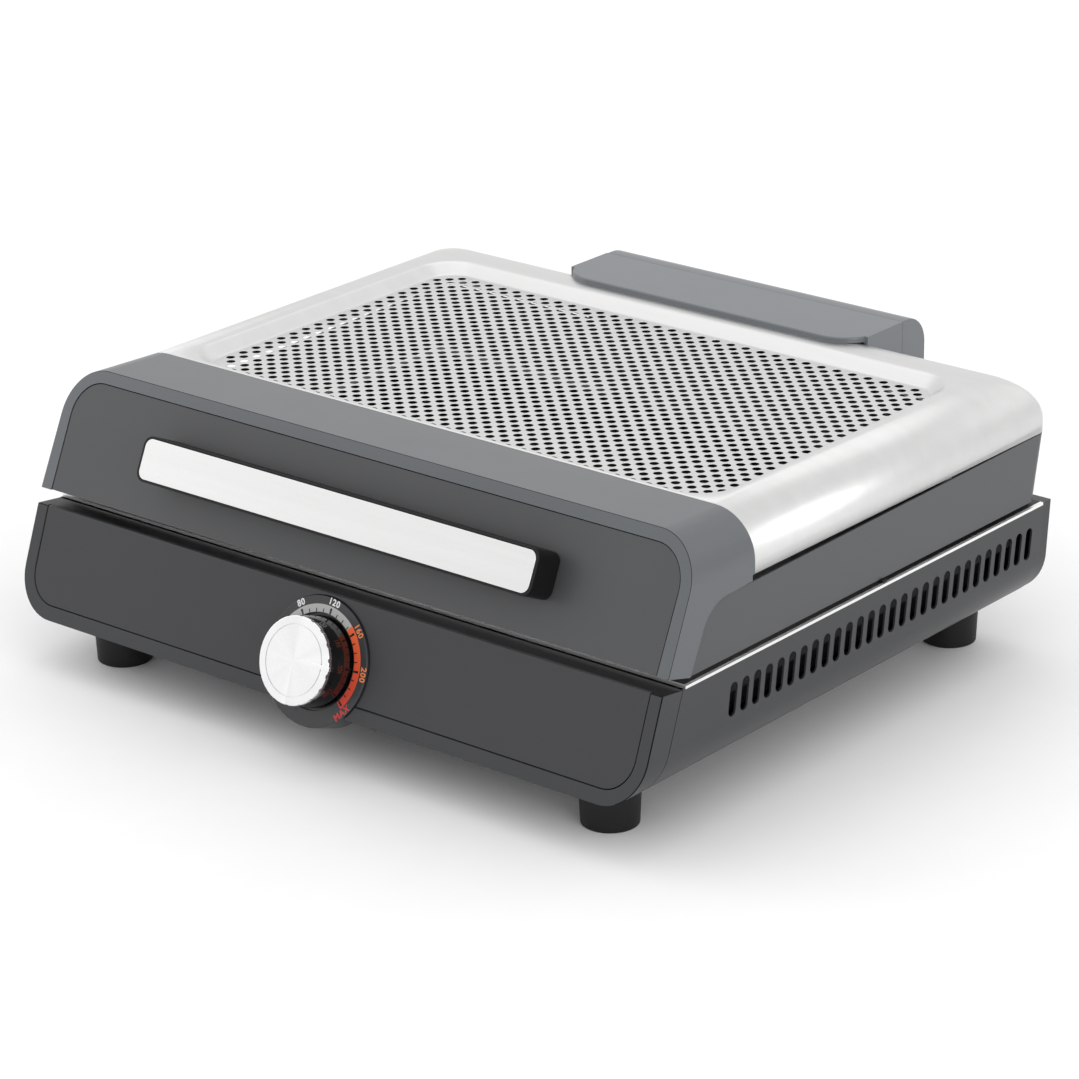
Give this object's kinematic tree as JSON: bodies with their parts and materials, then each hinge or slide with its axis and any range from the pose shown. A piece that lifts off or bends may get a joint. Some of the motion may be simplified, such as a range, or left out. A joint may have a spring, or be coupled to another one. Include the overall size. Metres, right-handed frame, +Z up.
{
  "type": "electric griddle",
  "caption": "Electric table griddle with a hinged perforated steel hood, a lifting handle, a temperature knob and side vents on four feet",
  "frame": {"origin": "middle of the bounding box's bottom, on the table plane under the appliance", "axes": "+X to the right seen from the front, -Y the front with the knob and handle, +Z up"},
  "size_m": [0.4704, 0.4561, 0.1725],
  "materials": {
    "dark_case": "satin painted steel sheet",
    "dark_mould": "fine satin moulding",
    "dark_panel": "satin painted front panel",
    "grey_mould": "satin grey moulding",
    "hood_panel": "satin painted front panel",
    "grey_sheet": "satin painted steel sheet",
    "stainless": "fine brushed stainless sheet",
    "handle_steel": "brushed stainless strip",
    "liner_metal": "aluminised sheet",
    "element_sheath": "dull steel sheath",
    "cast_plate": "dark non-stick casting",
    "dial_face": "gloss dial face",
    "black_plastic": "black satin moulding",
    "foot_black": "black rubber",
    "screw_steel": "plated steel",
    "knob_black": "gloss black moulding",
    "knob_metal": "spun metal cap"
  },
  "bodies": {
    "base": {"base_wrap": "dark_case", "base_front_frame": "dark_mould", "base_front_panel": "dark_panel", "base_rear_cap": "dark_mould", "cord_gland": "black_plastic", "inner_liner": "liner_metal", "heating_element": "element_sheath", "element_clips": "liner_metal", "cooking_plate": "cast_plate", "drip_pan": "liner_metal", "heat_shield": "liner_metal", "dial_disc": "dial_face", "thermostat": "black_plastic", "thermostat_bracket": "liner_metal", "terminal_block": "black_plastic", "thermal_fuse": "liner_metal", "foot_screws": "screw_steel", "foot_front_left": "foot_black", "foot_front_right": "foot_black", "foot_rear_left": "foot_black", "foot_rear_right": "foot_black", "hinge_ear_left": "screw_steel", "hinge_ear_right": "screw_steel", "hinge_pin_left": "screw_steel", "hinge_pin_right": "screw_steel", "rim_pads": "foot_black"},
    "hood": {"hood_front_frame": "grey_mould", "hood_front_panel": "hood_panel", "hood_top_sheet": "stainless", "hood_skirt": "grey_sheet", "handle_bar": "black_plastic", "handle_plate": "handle_steel", "handle_screws": "screw_steel", "hinge_arm_left": "screw_steel", "hinge_arm_right": "screw_steel", "hinge_cover_top": "grey_mould", "hinge_cover_rear": "grey_mould"},
    "knob": {"knob_body": "knob_black", "knob_cap": "knob_metal", "knob_pointer": "black_plastic", "thermostat_shaft": "screw_steel", "shaft_clip": "screw_steel"}
  },
  "joints": [
    {"name": "hood_hinge", "type": "hinge", "parent": "base", "child": "hood", "pos_m": [0, 0.1956, 0.1], "axis": [-1, 0, 0], "range_deg": [0, 95]},
    {"name": "knob_turn", "type": "hinge", "parent": "base", "child": "knob", "pos_m": [0, -0.20009, 0.0561], "axis": [0, -0.9367, 0.3502], "range_deg": [-41, 252]}
  ]
}
